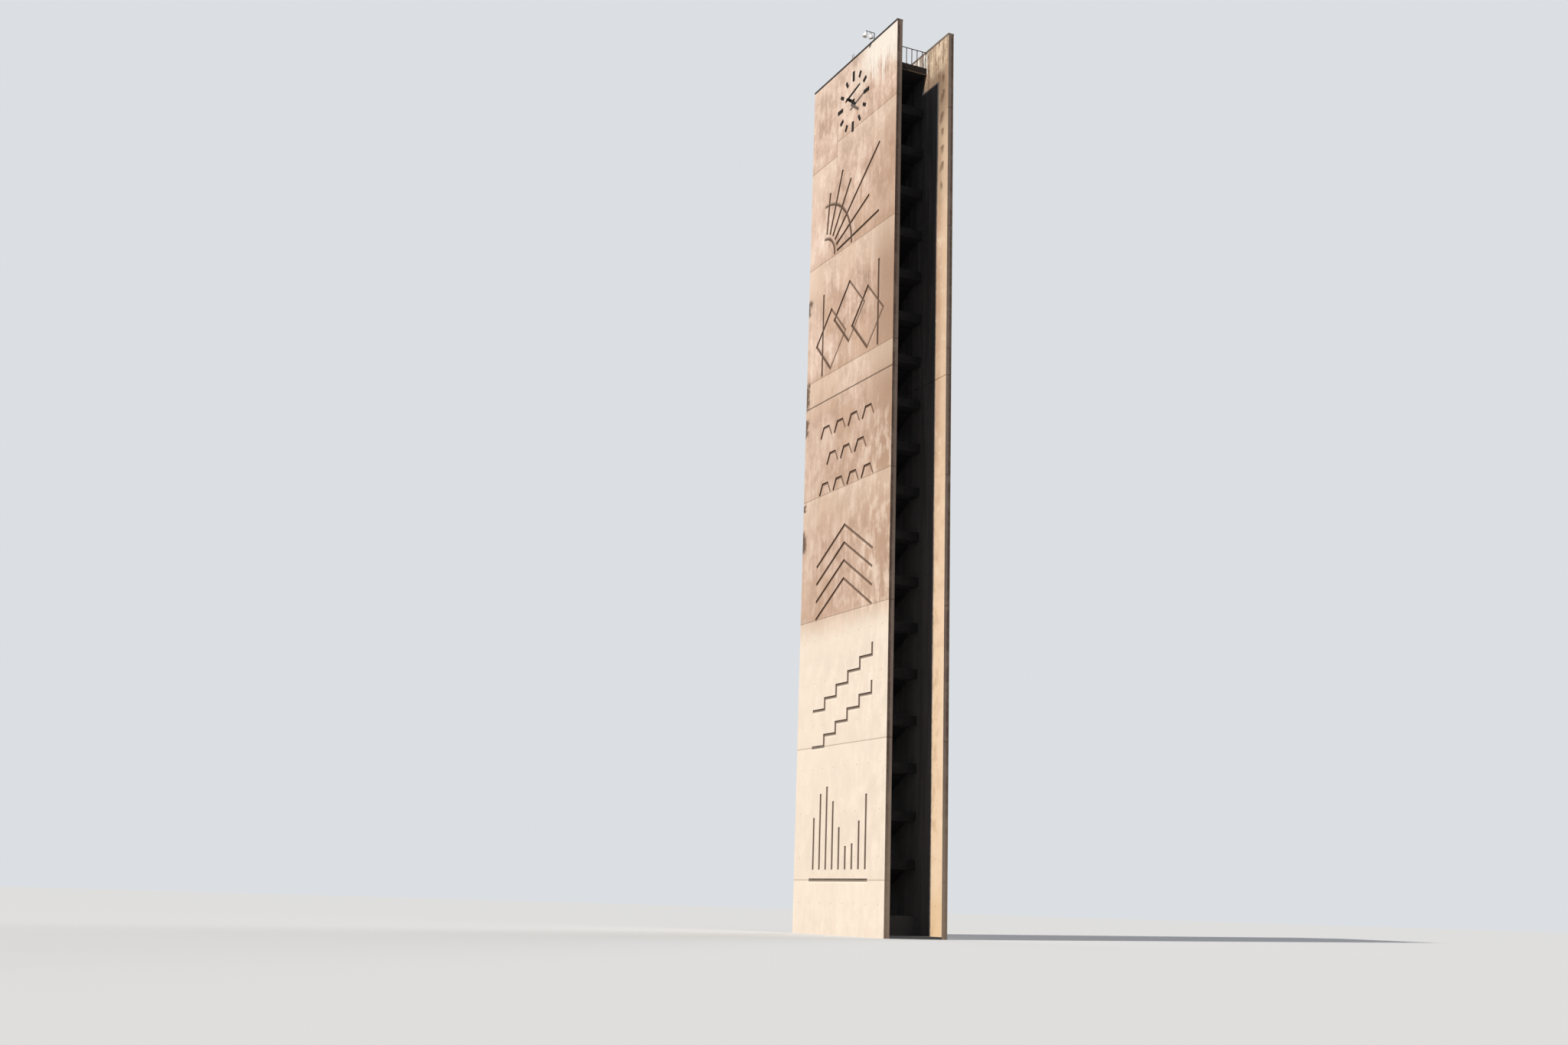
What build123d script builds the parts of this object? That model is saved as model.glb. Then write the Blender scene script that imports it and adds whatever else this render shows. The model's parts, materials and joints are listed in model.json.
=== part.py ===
import os
from math import atan2, cos, radians, sin

from build123d import *

# Clock tower: two tall concrete slabs side by side with an open concrete stair between them,
# a railed deck near the top, and a dial of plain bars with two hands on each outer face.
# A model at half the real size. Millimetres, Z up, the front dial faces -Y.
# The origin is the middle of the underside of the floor between the slabs.

# Slabs
slab_width = 5100.0
slab_thickness = 165.0
slab_gap = 1500.0
joint_height = 14850.0
joint_bevel = 16.0
parapet_height = 700.0
coping_thickness = 8.0
coping_overhang = 8.0
coping_lip = 20.0

# Stair
floor_thickness = 63.9
storey_height = 1250.0
storey_count = 19
flight_risers = 9
tread_depth = 150.0
flight_width = 700.0
waist_thickness = 75.0
landing_depth = 600.0
landing_thickness = 85.0
kerb_height = 165.0
kerb_thickness = 75.0
entry_risers = 7

# Deck and its railing
deck_thickness = 80.0
deck_overhang = 145.0
deck_front_reach = 400.0
deck_kerb_height = 140.0
rail_height = 650.0
rail_diameter = 25.0
post_size = 18.0
post_spacing = 175.0
post_inset = 30.0

# Dial
dial_drop = 1400.0
dial_radius = 795.0
long_mark_length = 300.0
long_mark_width = 102.0
short_mark_length = 190.0
short_mark_width = 90.0
mark_thickness = 20.0

# Relief panels, cut into the outer faces one above the other
panel_count = 6
panel_width = 3300.0
panel_height = 2500.0
panel_pitch = 3550.0
panel_drop = 3300.0
cut_width = 115.0
cut_depth = 36.0
cut_margin = 4.0

# Hands
minute_hand_length = 765.0
minute_hand_tail = 130.0
minute_hand_width = 84.0
minute_hand_tip = 66.0
hour_hand_length = 470.0
hour_hand_tail = 140.0
hour_hand_width = 96.0
hour_hand_tip = 74.0
hand_thickness = 8.0
minute_hand_angle = 76.5
hub_diameter = 76.0
hub_depth = 24.0

# Spindle that carries the hands
wall_plate_size = 130.0
wall_plate_thickness = 12.0
spindle_diameter = 42.0
spindle_nose_diameter = 28.0
hour_hub_standoff = 126.0
minute_hub_standoff = 190.0
hub_clearance = 0.1
hub_end_play = 0.3
nut_diameter = 52.0
nut_thickness = 12.0

# Lamps and rods on the coping
lamp_place = 1050.0
lamp_post_diameter = 24.0
lamp_post_height = 290.0
lamp_bar_diameter = 20.0
lamp_reach = 260.0
lamp_spread = 110.0
lamp_stem_diameter = 16.0
lamp_stem_length = 45.0
lamp_tilt = 15.0
lamp_diameter = 134.0
lamp_back_diameter = 80.0
lamp_depth = 150.0
lamp_drum_depth = 55.0
lamp_rim_depth = 60.0
lamp_gap = 0.3
rod_diameter = 14.0
rod_height = 230.0
rod_places = (-200.0, -290.0)

# Places worked out from the sizes above
flight_rise = storey_height / 2
riser_height = flight_rise / flight_risers
flight_run = (flight_risers - 1) * tread_depth
landing_inner = flight_run / 2
landing_outer = landing_inner + landing_depth
first_near_level = floor_thickness + entry_risers * riser_height
deck_level = first_near_level + storey_count * storey_height
deck_edge = landing_outer + deck_overhang
well_width = slab_gap - 2 * flight_width
tower_height = deck_level + parapet_height
wall_top = tower_height - coping_thickness
wall_outer = slab_gap / 2 + slab_thickness
dial_level = tower_height - dial_drop
hour_shown = 4
hour_hand_angle = 30 * hour_shown + minute_hand_angle / 12

os.makedirs("parts", exist_ok=True)


def keep(piece, name):
    piece.part.label = name
    export_step(piece.part, f"parts/{name}.step")


# Floor between the slabs, cast on the ground
with BuildPart() as ground_floor:
    with BuildSketch():
        Rectangle(slab_width, slab_gap)
    extrude(amount=floor_thickness)
keep(ground_floor, "ground_floor")


# Relief cuts, as solids to take away from a slab. u runs to the viewer's right and v up, from
# the middle of the panel. A cut is steep along its line and slopes back up to the face beside it:
# to the left of the way that a line is drawn, and outside a ring.
def cut_section(plane):
    slope = cut_margin / cut_depth
    with BuildSketch(plane, mode=Mode.PRIVATE) as wedge:
        Polygon((0, cut_margin), (0, -cut_depth), (cut_width * (1 + slope), cut_margin), align=None)
    return wedge.sketch


def line_cut(face, *points):
    corners = [face.from_local_coords(Vector(u, v, 0)) for u, v in points]
    along = (corners[1] - corners[0]).normalized()
    section = cut_section(Plane(origin=corners[0], x_dir=face.z_dir.cross(along), z_dir=along))
    with BuildLine(mode=Mode.PRIVATE) as path:
        Polyline(*corners)
    return sweep(section, path=path.wires()[0], transition=Transition.RIGHT, mode=Mode.PRIVATE)


def ring_cut(face, centre, radius, start, arc):
    middle = face.from_local_coords(Vector(*centre, 0))
    out_u, out_v = turned(1, start)
    out = face.x_dir * out_u + face.y_dir * out_v
    section = cut_section(Plane(origin=middle + out * radius, x_dir=out, z_dir=out.cross(face.z_dir)))
    return revolve(section, axis=Axis(middle, face.z_dir), revolution_arc=arc, mode=Mode.PRIVATE)


def turned(length, angle):
    return length * cos(radians(angle)), length * sin(radians(angle))


# Rays that spread from the lower left corner, each second one shorter, crossed by two quarter rings
def fan_panel(face):
    corner = (-panel_width / 2, -panel_height / 2)
    ray_count = 6
    ray_start = panel_height * 0.32
    short_share = 0.82
    ring_radii = (panel_height * 0.25, panel_height * 0.66)
    cuts = []
    for ray in range(ray_count):
        angle = 90 * (ray + 0.5) / ray_count
        reach = min(panel_width / cos(radians(angle)), panel_height / sin(radians(angle)))
        if ray % 2:
            reach *= short_share
        near_u, near_v = turned(ray_start, angle)
        far_u, far_v = turned(reach, angle)
        near = (corner[0] + near_u, corner[1] + near_v)
        far = (corner[0] + far_u, corner[1] + far_v)
        cuts.append(line_cut(face, far, near))
    for radius in ring_radii:
        cuts.append(ring_cut(face, corner, radius, 0, 90))
    return cuts


# A row of squares that stand on a corner and overlap, between two upright lines
def square_chain_panel(face):
    square_count = 3
    reach = panel_height * 0.38
    pitch = reach * 1.15
    shift = panel_height * 0.1
    cuts = []
    for square in range(square_count):
        u = (square - (square_count - 1) / 2) * pitch
        v = shift if square % 2 else -shift
        side_middle = (u + reach / 2, v - reach / 2)
        corners = [(u + reach, v), (u, v + reach), (u - reach, v), (u, v - reach)]
        cuts.append(line_cut(face, side_middle, *corners, side_middle))
    edge_u, edge_v = panel_width / 2, panel_height / 2
    cuts.append(line_cut(face, (-edge_u, edge_v), (-edge_u, -edge_v)))
    cuts.append(line_cut(face, (edge_u, edge_v), (edge_u, -edge_v)))
    return cuts


# Rows of half hexagons, each second row shifted by half a hexagon
def scale_panel(face):
    scale_count = 4
    row_count = 3
    pitch = panel_width / scale_count
    radius = pitch * 0.44
    cuts = []
    for row in range(row_count):
        v = (row / row_count - 0.5) * panel_height
        scales = scale_count - row % 2
        for scale in range(scales):
            u = (scale - (scales - 1) / 2) * pitch
            corners = [turned(radius, angle) for angle in (0, 60, 120, 180)]
            cuts.append(line_cut(face, *[(u + corner_u, v + corner_v) for corner_u, corner_v in corners]))
    return cuts


# Chevrons one above another, as wide as the panel
def chevron_panel(face):
    chevron_count = 4
    gap = panel_height / (chevron_count + 1)
    rise = gap * 1.9
    edge_u = panel_width / 2
    cuts = []
    for chevron in range(chevron_count):
        v = chevron * gap - panel_height / 2
        cuts.append(line_cut(face, (edge_u, v), (0, v + rise), (-edge_u, v)))
    return cuts


# Two stairs of level and upright lines, one above the other
def step_panel(face):
    step_count = 5
    stair_height = panel_height * 0.6
    step_u = panel_width / step_count
    step_v = stair_height / step_count
    cuts = []
    for start in (0, panel_height - stair_height):
        points = []
        for step in range(step_count):
            u = panel_width / 2 - step * step_u
            v = start + stair_height - step * step_v - panel_height / 2
            points.append((u, v))
            points.append((u, v - step_v))
        points.append((-panel_width / 2, v - step_v))
        cuts.append(line_cut(face, *points))
    return cuts


# Upright bars whose heights rise and fall, over one long level line
def bar_panel(face):
    bar_count = 9
    bar_turn = 50
    edge_u, edge_v = panel_width / 2, panel_height / 2
    foot = 2 * cut_width - edge_v
    middle_length = panel_height * 0.55
    swing = panel_height * 0.33
    cuts = []
    for bar in range(bar_count):
        u = ((bar + 0.5) / bar_count - 0.5) * panel_width
        length = middle_length + swing * sin(radians(bar * bar_turn))
        cuts.append(line_cut(face, (u, foot + length), (u, foot)))
    cuts.append(line_cut(face, (edge_u, -edge_v), (-edge_u, -edge_v)))
    return cuts


panel_designs = (fan_panel, square_chain_panel, scale_panel, chevron_panel, step_panel, bar_panel)


# Cuts of every panel whose middle lies between two heights. The rear slab has them in reverse order.
def relief(side, lowest, highest):
    designs = panel_designs if side < 0 else panel_designs[::-1]
    cuts = []
    for place in range(panel_count):
        level = tower_height - panel_drop - place * panel_pitch - panel_height / 2
        if lowest < level < highest:
            face = Plane(origin=(0, side * wall_outer, level), x_dir=(-side, 0, 0), z_dir=(0, side, 0))
            cuts.extend(designs[place % len(designs)](face))
    return cuts


# The slabs, each cast in two heights with a bevelled joint between them
def wall_centre(side):
    return side * (slab_gap + slab_thickness) / 2


for side, side_name in ((-1, "front"), (1, "rear")):
    with BuildPart() as wall_lower:
        with BuildSketch():
            with Locations((0, wall_centre(side))):
                Rectangle(slab_width, slab_thickness)
        extrude(amount=joint_height)
        chamfer(wall_lower.faces().sort_by(Axis.Z)[-1].edges(), joint_bevel)
        add(relief(side, 0, joint_height), mode=Mode.SUBTRACT)
    keep(wall_lower, f"{side_name}_wall_lower")

    with BuildPart() as wall_upper:
        with BuildSketch(Plane.XY.offset(joint_height)):
            with Locations((0, wall_centre(side))):
                Rectangle(slab_width, slab_thickness)
        extrude(amount=wall_top - joint_height)
        add(relief(side, joint_height, wall_top), mode=Mode.SUBTRACT)
    keep(wall_upper, f"{side_name}_wall_upper")

    # Metal coping: a flat sheet with a lip down each long side
    with BuildPart() as coping:
        with BuildSketch(Plane.YZ):
            with Locations((wall_centre(side), tower_height)):
                Rectangle(
                    slab_thickness + 2 * coping_overhang,
                    coping_thickness + coping_lip,
                    align=(Align.CENTER, Align.MAX),
                )
            with Locations((wall_centre(side), wall_top)):
                Rectangle(
                    slab_thickness,
                    coping_lip,
                    align=(Align.CENTER, Align.MAX),
                    mode=Mode.SUBTRACT,
                )
        extrude(amount=slab_width / 2, both=True)
    keep(coping, f"{side_name}_wall_coping")


# Stair flights. A flight that climbs towards +X is drawn in the XZ plane from its lower landing.
def flight_profile(risers, start_x, start_z, direction):
    drop = waist_thickness / cos(atan2(riser_height, tread_depth))
    points = []
    for step in range(risers):
        points.append((step * tread_depth, step * riser_height))
        points.append((step * tread_depth, (step + 1) * riser_height))
    run = (risers - 1) * tread_depth
    points.append((run, (risers - 1) * riser_height - drop))
    points.append((0, -drop))
    return [(start_x + direction * x, start_z + z) for x, z in points]


def add_flight(risers, start_x, start_z, direction, side):
    inner = side * well_width / 2
    with BuildSketch(Plane.XZ.offset(-inner)) as outline:
        Polygon(*flight_profile(risers, start_x, start_z, direction), align=None)
    extrude(outline.sketch, amount=-side * flight_width)


def near_level(storey):
    return first_near_level + storey * storey_height


# The flight beside the front slab climbs from the near landing to the far one,
# and the flight beside the rear slab climbs back to the next near landing.
def add_storey(storey):
    start = near_level(storey)
    add_flight(flight_risers, landing_inner, start, -1, -1)
    add_flight(flight_risers, -landing_inner, start + flight_rise, 1, 1)


storeys_per_node = 2
for first in range(0, storey_count, storeys_per_node):
    last = min(first + storeys_per_node, storey_count)
    with BuildPart() as flights:
        for storey in range(first, last):
            add_storey(storey)
    keep(flights, f"stair_flights_{first // storeys_per_node + 1:02d}")


# Entry flight from the floor to the lowest near landing, its foot cut off by the floor
with BuildPart() as entry_flight:
    entry_run = (entry_risers - 1) * tread_depth
    add_flight(entry_risers, landing_inner - entry_run, floor_thickness, 1, 1)
    split(bisect_by=Plane.XY.offset(floor_thickness), keep=Keep.TOP)
keep(entry_flight, "stair_entry_flight")


# Landings: a slab from wall to wall with a raised kerb along its open edge
def add_landing(level, end, with_kerb=True):
    middle = end * (landing_inner + landing_outer) / 2
    with BuildSketch(Plane.XY.offset(level - landing_thickness)) as slab:
        with Locations((middle, 0)):
            Rectangle(landing_depth, slab_gap)
    extrude(slab.sketch, amount=landing_thickness)
    if with_kerb:
        with BuildSketch(Plane.XY.offset(level)) as kerb:
            with Locations((end * (landing_outer - kerb_thickness / 2), 0)):
                Rectangle(kerb_thickness, slab_gap)
        extrude(kerb.sketch, amount=kerb_height)


# Near landings end at +X and far landings at -X, in three groups from the ground up
group_starts = (0, storey_count * 3 // 8, storey_count * 11 // 16, storey_count)
for group, name in enumerate(("lower", "middle", "upper")):
    storeys = range(group_starts[group], group_starts[group + 1])
    with BuildPart() as near_landings:
        for storey in storeys:
            add_landing(near_level(storey), 1, with_kerb=storey > 0)
    keep(near_landings, f"near_landings_{name}")
    with BuildPart() as far_landings:
        for storey in storeys:
            add_landing(near_level(storey) + flight_rise, -1)
    keep(far_landings, f"far_landings_{name}")


# Low wall that closes the foot of the stair under the lowest near landing
with BuildPart() as low_wall:
    with BuildSketch(Plane.XY.offset(floor_thickness)):
        with Locations((landing_outer - kerb_thickness / 2, 0)):
            Rectangle(kerb_thickness, slab_gap)
    extrude(amount=first_near_level - landing_thickness - floor_thickness)
keep(low_wall, "entry_low_wall")


# Kerb along one end of the deck, under the railing
def add_deck_kerb(end):
    with BuildSketch(Plane.XY.offset(deck_level)) as kerb:
        with Locations((end * (deck_edge - kerb_thickness / 2), 0)):
            Rectangle(kerb_thickness, slab_gap)
    extrude(kerb.sketch, amount=deck_kerb_height)


# Deck: a platform over the near landing that reaches further back on the front side,
# and a beam across the far end of the stair
with BuildPart() as top_deck:
    with BuildSketch(Plane.XY.offset(deck_level - deck_thickness)):
        with BuildLine():
            Polyline(
                (deck_edge, -slab_gap / 2),
                (deck_edge, slab_gap / 2),
                (landing_inner, slab_gap / 2),
                (landing_inner, well_width / 2),
                (landing_inner, -well_width / 2),
                (landing_inner - deck_front_reach, -well_width / 2),
                (landing_inner - deck_front_reach, -slab_gap / 2),
                close=True,
            )
        make_face()
    extrude(amount=deck_thickness)
    add_deck_kerb(1)
keep(top_deck, "top_deck")

with BuildPart() as far_deck_beam:
    with BuildSketch(Plane.XY.offset(deck_level - deck_thickness)):
        with Locations((-(landing_outer + deck_edge) / 2, 0)):
            Rectangle(deck_overhang, slab_gap)
    extrude(amount=deck_thickness)
    add_deck_kerb(-1)
keep(far_deck_beam, "far_deck_beam")


# Railing on each kerb of the deck: square posts under one round top rail
def add_railing(end):
    rail_x = end * (deck_edge - post_inset)
    post_count = int((slab_gap - post_spacing) / post_spacing) + 1
    with BuildSketch(Plane.XY.offset(deck_level + deck_kerb_height)) as posts:
        with Locations((rail_x, 0)):
            with GridLocations(0, post_spacing, 1, post_count):
                Rectangle(post_size, post_size)
    extrude(posts.sketch, amount=rail_height - deck_kerb_height)
    with BuildSketch(Plane.XZ.offset(-slab_gap / 2)) as rail:
        with Locations((rail_x, deck_level + rail_height)):
            Circle(rail_diameter / 2)
    extrude(rail.sketch, amount=slab_gap)


for end, end_name in ((1, "near"), (-1, "far")):
    with BuildPart() as railing:
        add_railing(end)
    keep(railing, f"{end_name}_deck_railing")


# Planes on the outer faces at the dial's centre, facing out. Y points at twelve o'clock
# when turn is 0, and turns clockwise from there.
def dial_plane(side, standoff=0.0, turn=0.0):
    return Plane(
        origin=(0, side * (wall_outer + standoff), dial_level),
        x_dir=(-side * cos(radians(turn)), 0, -sin(radians(turn))),
        z_dir=(0, side, 0),
    )


# A hand is a bar that tapers both ways from its hub, turned clockwise from twelve by its angle
def make_hand(name, side, standoff, bore, length, tail, width, tip, angle):
    with BuildPart() as hand:
        with BuildSketch(dial_plane(side, standoff, angle)):
            with BuildLine():
                Polyline(
                    (-width / 2, 0),
                    (-tip / 2, length),
                    (tip / 2, length),
                    (width / 2, 0),
                    (tip / 2, -tail),
                    (-tip / 2, -tail),
                    close=True,
                )
            make_face()
        extrude(amount=hand_thickness)
        with BuildSketch(dial_plane(side, standoff)):
            Circle(hub_diameter / 2)
        extrude(amount=hub_depth)
        with BuildSketch(dial_plane(side, standoff)):
            Circle(bore / 2 + hub_clearance)
        extrude(amount=hub_depth, mode=Mode.SUBTRACT)
    keep(hand, name)


for side, side_name in ((-1, "front"), (1, "rear")):
    # Twelve bars on the wall, the ones at each quarter longer
    with BuildPart() as hour_marks:
        with BuildSketch(dial_plane(side)):
            for hour in range(12):
                quarter = hour % 3 == 0
                length = long_mark_length if quarter else short_mark_length
                width = long_mark_width if quarter else short_mark_width
                with PolarLocations(dial_radius, 1, start_angle=90 - hour * 30):
                    Rectangle(length, width)
        extrude(amount=mark_thickness)
    keep(hour_marks, f"{side_name}_hour_marks")

    # Fixed spindle: plate on the wall, collar behind the hour hand, shank that the hour hand turns on,
    # nose that the minute hand turns on, and a nut
    with BuildPart() as spindle:
        nose_end = minute_hub_standoff + hub_depth + hub_end_play
        with BuildSketch(dial_plane(side)):
            Rectangle(wall_plate_size, wall_plate_size)
        extrude(amount=wall_plate_thickness)
        with BuildSketch(dial_plane(side)):
            Circle(hub_diameter / 2)
        extrude(amount=hour_hub_standoff - hub_end_play)
        with BuildSketch(dial_plane(side)):
            Circle(spindle_diameter / 2)
        extrude(amount=minute_hub_standoff - hub_end_play)
        with BuildSketch(dial_plane(side)):
            Circle(spindle_nose_diameter / 2)
        extrude(amount=nose_end)
        with BuildSketch(dial_plane(side, nose_end)):
            RegularPolygon(nut_diameter / 2, 6)
        extrude(amount=nut_thickness)
    keep(spindle, f"{side_name}_dial_spindle")

    make_hand(
        f"{side_name}_hour_hand",
        side,
        hour_hub_standoff,
        spindle_diameter,
        hour_hand_length,
        hour_hand_tail,
        hour_hand_width,
        hour_hand_tip,
        hour_hand_angle,
    )
    make_hand(
        f"{side_name}_minute_hand",
        side,
        minute_hub_standoff,
        spindle_nose_diameter,
        minute_hand_length,
        minute_hand_tail,
        minute_hand_width,
        minute_hand_tip,
        minute_hand_angle,
    )


# Pair of lamps over the front face: a post on the coping carries a bar that reaches out,
# and each lamp hangs from the bar by a stem. The outer lamp leans out and the inner one in.
coping_middle = wall_centre(-1)
lamp_bar_level = tower_height + lamp_post_height


def lamp_axis(outward):
    lean = radians(lamp_tilt)
    return Vector(0, -outward * sin(lean), -cos(lean))


def lamp_hanger(outward):
    along = lamp_reach if outward > 0 else lamp_reach - lamp_spread
    return Vector(lamp_place, coping_middle - along, lamp_bar_level)


with BuildPart() as lamp_post:
    with BuildSketch(Plane.XY.offset(tower_height)):
        with Locations((lamp_place, coping_middle)):
            Circle(lamp_post_diameter / 2)
    extrude(amount=lamp_post_height)
    with BuildSketch(Plane.XZ.offset(-coping_middle)):
        with Locations((lamp_place, lamp_bar_level)):
            Circle(lamp_bar_diameter / 2)
    extrude(amount=lamp_reach + lamp_stem_diameter)
    for outward in (-1, 1):
        with BuildSketch(Plane(origin=lamp_hanger(outward), z_dir=lamp_axis(outward))):
            Circle(lamp_stem_diameter / 2)
        extrude(amount=lamp_stem_length)
keep(lamp_post, "lamp_post")


# Each lamp is a round housing turned about its own axis: a drum at the back, against the end of
# its stem, that widens to the rim
def add_lamp(outward):
    axis = lamp_axis(outward)
    seat = lamp_hanger(outward) + axis * (lamp_stem_length + lamp_gap)
    profile = Plane(origin=seat, x_dir=(1, 0, 0), z_dir=axis.cross(Vector(1, 0, 0)) * -1)
    rim = lamp_diameter / 2
    back = lamp_back_diameter / 2
    rim_start = lamp_depth - lamp_rim_depth
    with BuildSketch(profile) as housing:
        Polygon(
            (0, 0), (back, 0), (back, lamp_drum_depth),
            (rim, rim_start), (rim, lamp_depth), (0, lamp_depth),
            align=None,
        )
    revolve(housing.sketch, axis=Axis(seat, axis))


with BuildPart() as lamp_heads:
    add_lamp(-1)
    add_lamp(1)
keep(lamp_heads, "lamp_heads")


# Short rods that stand on the coping
with BuildPart() as coping_rods:
    with BuildSketch(Plane.XY.offset(tower_height)):
        for place in rod_places:
            with Locations((place, coping_middle)):
                Circle(rod_diameter / 2)
    extrude(amount=rod_height)
keep(coping_rods, "coping_rods")
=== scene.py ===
# %% [markdown]
# # Concrete clock tower, scale model at half size
# This file is a lesson in dressing a CAD model in Blender. The tower's solids come in finished:
# two tall cast slabs, the stair between them, the deck, the dial and its hands. Here they get
# their finishes, the small fittings that a solid model leaves out, a camera and light.
# Everything is in metres, with Z up, the front dial facing -Y and the near end of the stair at +X.

# %% Load the frame
import functools
import json
import math
import random
import types

import bmesh
import bpy
from mathutils import Matrix, Vector


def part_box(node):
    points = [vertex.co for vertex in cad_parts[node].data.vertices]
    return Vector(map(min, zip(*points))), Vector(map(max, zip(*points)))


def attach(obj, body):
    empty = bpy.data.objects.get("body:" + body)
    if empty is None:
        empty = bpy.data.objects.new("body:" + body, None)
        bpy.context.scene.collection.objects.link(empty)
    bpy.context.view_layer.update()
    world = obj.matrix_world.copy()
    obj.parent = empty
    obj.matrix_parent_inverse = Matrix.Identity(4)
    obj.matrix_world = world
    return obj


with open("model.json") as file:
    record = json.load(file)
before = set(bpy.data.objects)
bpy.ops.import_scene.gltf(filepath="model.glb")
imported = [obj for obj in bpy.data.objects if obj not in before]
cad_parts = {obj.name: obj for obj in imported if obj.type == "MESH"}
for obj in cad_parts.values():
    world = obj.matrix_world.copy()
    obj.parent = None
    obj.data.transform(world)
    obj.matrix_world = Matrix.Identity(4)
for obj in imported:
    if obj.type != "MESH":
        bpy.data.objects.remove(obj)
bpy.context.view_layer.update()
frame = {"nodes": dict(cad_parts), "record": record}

# %% [markdown]
# ## Reading sizes from the frame
# A fitting that is placed by a copied number drifts away as soon as the model changes. So the
# tower's own boxes are measured once, and every place below is worked out from them. Slabs, dials
# and copings come in pairs, so `slabs` names both, each with the sign of its side along Y.

# %% Sizes of the tower
slabs = ((-1, "front"), (1, "rear"))
slab_low, slab_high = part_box("front_wall_lower")
coping_low, coping_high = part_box("front_wall_coping")
railing_low, railing_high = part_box("near_deck_railing")
spindle_low, spindle_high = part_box("front_dial_spindle")
marks_low, marks_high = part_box("front_hour_marks")
half_width = slab_high.x
outer_face = -slab_low.y
inner_face = -slab_high.y
joint_level = slab_high.z
wall_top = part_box("front_wall_upper")[1].z
landing_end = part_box("near_landings_upper")[1].x
deck_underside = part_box("top_deck")[0].z
dial_level = (spindle_low.z + spindle_high.z) / 2
print("slab:", round(2 * half_width, 3), "wide,", round(outer_face - inner_face, 3), "thick")

# %% [markdown]
# ## Colour
# Designers write a colour as an sRGB hex value, but a shader works with linear light. One function
# turns one into the other, so that every colour below can be compared with a swatch by eye.

# %% Hex to linear


def linear(hex_colour):
    channels = [int(hex_colour[i : i + 2], 16) / 255 for i in (1, 3, 5)]
    curve = [c / 12.92 if c <= 0.04045 else ((c + 0.055) / 1.055) ** 2.4 for c in channels]
    return (*curve, 1.0)


print("mid grey in linear light:", round(linear("#808080")[0], 3))

# %% [markdown]
# ## Building a node tree
# A procedural material is a small program. Written out line by line it would be long, so one
# function makes a node, sets it up and links its inputs. Values fill the inputs in their order, or
# by name or number through `sockets`, and each is a plain value or another node's output.
# What comes back is the node's first output, or the whole node where `output` is None.

# %% One function that adds a node


def add_node(tree, kind, *values, output=0, sockets=None, **settings):
    node = tree.nodes.new("ShaderNode" + kind)
    for name, setting in settings.items():
        setattr(node, name, setting)
    for socket, value in (dict(enumerate(values)) | (sockets or {})).items():
        if isinstance(value, bpy.types.NodeSocket):
            tree.links.new(value, node.inputs[socket])
        else:
            node.inputs[socket].default_value = value
    return node if output is None else node.outputs[output]


def start_material(name):
    material = bpy.data.materials.new(name)
    material.use_nodes = True
    material.node_tree.nodes.clear()
    print("material:", name)
    return material, functools.partial(add_node, material.node_tree)


# %% [markdown]
# ## Steps that the finishes share
# 1. `locate` finds where a point lies and which way its face looks.
# 2. `pattern` is cloudy noise whose clouds have a real size in millimetres: one number for round
#    clouds, or three along X, Y and Z. So a streak is simply a cloud that is narrow and tall.
# 3. `weigh` adds patterns up, each about its middle, into one tone or one height.
# 4. `distance` is how far apart two heights or places are.
# 5. `fade` is a mask that grows smoothly from 0 to 1 over a range of metres or of shades. Two more
#    numbers in the range stand for other ends than 0 and 1. Several ranges are multiplied, and a
#    mask that is there already can stand among them.
# 6. `lay_over` paints colours over one another. Before its colour, each layer has its masks or
#    ranges, which `fade` turns into one.
# 7. `finish` turns the height into bumps and closes the material.
#
# Grit, board grain and the ripple of paint are finer on the real thing than here. They are drawn as
# coarse as they need to be to show at all on an object 25 metres high.

# %% Shared steps


def locate(add):
    coordinates = add("TexCoord", output=None).outputs
    at = types.SimpleNamespace(point=coordinates["Object"])
    at.x, at.y, at.z = add("SeparateXYZ", at.point, output=None).outputs
    at.faces_x, at.faces_y, at.faces_z = add("SeparateXYZ", coordinates["Normal"], output=None).outputs
    return at


def pattern(add, at, size_mm, detail=4.0, roughness=0.55):
    sizes_mm = size_mm if isinstance(size_mm, tuple) else (size_mm, size_mm, size_mm)
    sizes = [size / 1000 for size in sizes_mm]
    cells = add("VectorMath", at.point, sizes, operation="DIVIDE")
    sockets = {"Vector": cells, "Scale": 1.0, "Detail": detail, "Roughness": roughness}
    return add("TexNoise", sockets=sockets)


def weigh(add, start, parts):
    total = start
    for part, weight in parts:
        centred = add("Math", part, 0.5, operation="SUBTRACT")
        total = add("Math", centred, weight, total, operation="MULTIPLY_ADD")
    return total


def distance(add, first, second):
    return add("Math", add("Math", first, second, operation="SUBTRACT"), operation="ABSOLUTE")


def fade(add, *parts):
    shared = None
    for part in parts:
        if isinstance(part, tuple):
            part = add("MapRange", *part, interpolation_type="SMOOTHSTEP")
        shared = part if shared is None else add("Math", shared, part, operation="MULTIPLY")
    return shared


def lay_over(add, colour, layers):
    for *masks, layer in layers:
        over = linear(layer) if isinstance(layer, str) else layer
        sockets = {0: fade(add, *masks), 6: colour, 7: over}
        colour = add("Mix", sockets=sockets, data_type="RGBA", output=2)
    return colour


def finish(add, colour, roughness, height, bump_mm, **shader):
    bump = add("Bump", sockets={"Height": height, "Distance": bump_mm / 1000})
    sockets = {"Base Color": colour, "Roughness": roughness, "Normal": bump}
    named = {name.replace("_", " "): value for name, value in shader.items()}
    surface = add("BsdfPrincipled", sockets=sockets | named)
    add("OutputMaterial", surface, output=None)


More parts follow.
